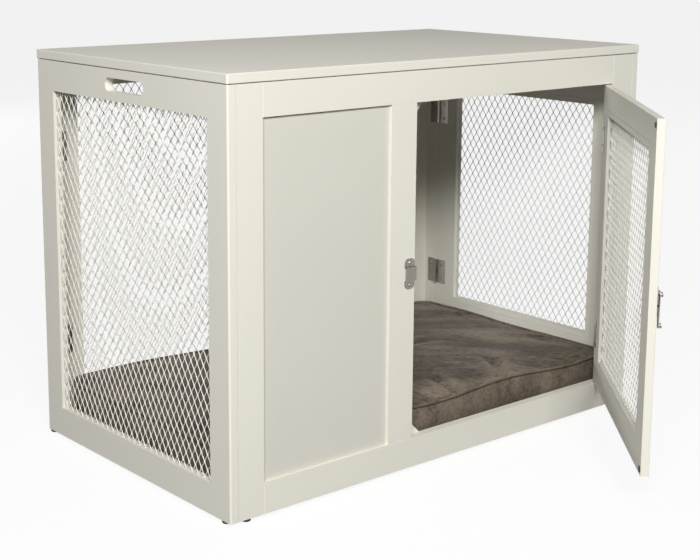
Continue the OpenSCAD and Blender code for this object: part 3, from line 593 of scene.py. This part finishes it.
for under, over in zip(rings, rings[1:]):
    for k in range(len(rim)):
        after = (k + 1) % len(rim)
        faces.append((under[k], under[after], over[after], over[k]))
seams = [[Vector(points[k]) for k in ring] for ring in (rings[0], rings[-1])]

mesh = bpy.data.meshes.new("cushion_cover")
mesh.from_pydata(points, [], faces)
seam_crease = mesh.attributes.new("crease_edge", "FLOAT", "EDGE")
for ring in (set(rings[0]), set(rings[-1])):
    for edge in mesh.edges:
        if edge.vertices[0] in ring and edge.vertices[1] in ring:
            seam_crease.data[edge.index].value = 1
cover = add_object("cushion_cover", mesh)


def bake(piece):
    """Applies the modifiers of a piece, as they are now."""
    evaluated = piece.evaluated_get(bpy.context.evaluated_depsgraph_get())
    shaped = bpy.data.meshes.new_from_object(evaluated)
    piece.modifiers.clear()
    piece.data = shaped


cover.vertex_groups.new(name="sewn").add(sewn, 1, "REPLACE")
before = [vertex.co.copy() for vertex in cover.data.vertices]
cloth = cover.modifiers.new("slack", "CLOTH")
cloth.settings.quality = 6
cloth.settings.use_pressure = True
cloth.settings.uniform_pressure_force = 4
cloth.settings.shrink_min = -slack
cloth.settings.bending_stiffness = 0.3
cloth.settings.vertex_group_mass = "sewn"
cloth.settings.effector_weights.gravity = 0
cloth.point_cache.frame_start, cloth.point_cache.frame_end = 1, swell_steps
for step in range(1, swell_steps + 1):
    scene.frame_set(step)
bake(cover)
for vertex, start in zip(cover.data.vertices, before):
    moved = vertex.co - start
    most = most_on_top if start.z > upper_seam else most_on_sides
    vertex.co = start + moved * (most / (most + moved.length))
scene.frame_set(1)
cover.modifiers.new("smooth", "SUBSURF").levels = 1
bake(cover)

# Creases in the top: where each starts and ends, and how deep and how wide it is. A low ridge stands on
# each side of a crease, and both run a little past its ends and fade out.
creases = [
    ((0.1645, -0.250), (0.2013, -0.1598), 0.0040, 0.011),
    ((0.052, -0.255), (0.048, -0.174), 0.0035, 0.010),
    ((0.010, -0.246), (-0.020, -0.190), 0.0025, 0.009),
    ((0.270, -0.248), (0.300, -0.205), 0.0022, 0.009),
    ((0.365, -0.246), (0.345, -0.210), 0.0018, 0.008),
    ((-0.120, -0.246), (-0.090, -0.175), 0.0030, 0.010),
    ((-0.260, -0.246), (-0.275, -0.190), 0.0025, 0.010),
    ((-0.390, -0.230), (-0.340, -0.185), 0.0028, 0.010),
    ((0.090, 0.020), (0.210, -0.015), 0.0018, 0.014),
    ((-0.060, 0.090), (0.050, 0.060), 0.0016, 0.013),
    ((0.150, 0.246), (0.130, 0.190), 0.0025, 0.010),
    ((-0.170, 0.246), (-0.150, 0.200), 0.0022, 0.010),
    ((0.430, 0.100), (0.375, 0.085), 0.0022, 0.010),
    ((-0.430, 0.040), (-0.370, 0.060), 0.0022, 0.010),
    ((0.428, -0.120), (0.380, -0.100), 0.0020, 0.009),
]
run_out = 0.2
ridge_share, ridge_place, ridge_end = 0.55, 1.7, 4
loose_from, seam_margin = 0.012, 0.004


def ripple(x, y, height, size, layer):
    return height * noise.noise(Vector((x * size, y * size, layer)))


for vertex in cover.data.vertices:
    x, y, z = vertex.co
    if z < upper_seam - seam_margin:
        continue
    from_rim = min(half_x - seam_inset - abs(x), half_y - seam_inset - abs(y))
    loose = min(max(from_rim, 0) / loose_from, 1)
    change = ripple(x, y, 0.0016, 9, 7) + ripple(x, y, 0.0008, 24, 1)
    for (start_x, start_y), (end_x, end_y), depth, half_width in creases:
        run_x, run_y = end_x - start_x, end_y - start_y
        length = math.hypot(run_x, run_y)
        along = ((x - start_x) * run_x + (y - start_y) * run_y) / length ** 2
        aside = ((x - start_x) * run_y - (y - start_y) * run_x) / length / half_width
        if -run_out < along < 1 + run_out and abs(aside) < ridge_end:
            fade = math.sin(math.pi * (along + run_out) / (1 + 2 * run_out))
            ridges = ridge_share * math.exp(-(abs(aside) - ridge_place) ** 2)
            change -= 2 * depth * fade * (math.exp(-aside ** 2) - ridges)
    vertex.co.z = z + change * loose
cover.data.polygons.foreach_set("use_smooth", [True] * len(cover.data.polygons))


# The piping: a cord wrapped in a strip of the same suede, sewn into both seams of the cover so that it
# stands proud of them. The stitches gather it a little.
points, faces = [], []
sides = 10
gather = 0.07
for path in seams:
    count, first = len(path), len(points)
    for k, place in enumerate(path):
        way = (path[(k + 1) % count] - path[k - 1]).normalized()
        outward = way.cross(z_axis).normalized()
        raised = outward.cross(way)
        radius = piping_radius * (1 + gather * noise.noise(place * 90))
        for side in range(sides):
            angle = math.tau * side / sides
            points.append(place + outward * (seam_inset - piping_radius)
                          + (outward * math.cos(angle) + raised * math.sin(angle)) * radius)
    for k in range(count):
        for side in range(sides):
            a, b = first + k * sides, first + (k + 1) % count * sides
            faces.append((a + side, b + side, b + (side + 1) % sides, a + (side + 1) % sides))
mesh = bpy.data.meshes.new("cushion_piping")
mesh.from_pydata(points, [], faces)
mesh.polygons.foreach_set("use_smooth", [True] * len(mesh.polygons))
piping = add_object("cushion_piping", mesh)


# The suede: brown, brushed askew along the cushion's top and up and down on its sides. Handling leaves
# smudges in the nap. The piping's suede gets a lighter tone, a painted highlight along the welts.
nap_turn = math.radians(-40)
nap_stretch = 2.6


def crushed_suede(name, tone):
    """Suede whose nap lies in smudged streaks."""
    suede = Finish(name, roughness=0.9, sheen_weight=0.12, sheen_roughness=0.45,
                   sheen_tint=(0.75, 0.68, 0.6))
    brushed = suede.node("Mapping", {"vector_type": "TEXTURE"}, {
        "Vector": suede.place(), "Rotation": (0, 0, nap_turn), "Scale": (nap_stretch, 1, 1)})
    facing_up = suede.node("SeparateXYZ", {}, {0: suede.node("NewGeometry", output="Normal")}, output=2)
    on_top = suede.node("MapRange", {}, {"Value": facing_up, "From Min": 0.4, "From Max": 0.8})

    def streaked(size, detail, rough):
        flat = suede.grain(size, detail, rough=rough, place=brushed)
        return flat * on_top + suede.grain(size, detail, (1, 1, 0.75), rough) * (1 - on_top)

    smudges = streaked(0.06, 5, 0.6)
    streaks = streaked(0.0042, 3, 0.6)
    pile = suede.grain(0.0012, 2)
    shade = ((smudges - 0.5) * (on_top * 1.2 + 1.9) + (streaks - 0.5) * (on_top * 0.6 + 1.2)
             + (pile - 0.5) * 0.8 + 0.46)
    suede.feed(
        base_color=suede.blend(shade, toned(from_screen(60, 51, 41), tone),
                               toned(from_screen(140, 127, 110), tone)),
        roughness=0.82 + pile * 0.12,
        normal=suede.bump(pile + streaks * 1.5, 0.0004, 0.5),
    )
    return suede.material


# The piping's lighter tone, 0.92 against the cover's 0.84, is a painted highlight along the welts.
for piece, finish in ((cover, crushed_suede("crushed suede", 0.84)),
                      (piping, crushed_suede("crushed suede, piping, painted highlight", 0.92))):
    piece.data.materials.append(finish)
    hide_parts("cushion")
    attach(piece, "cushion")
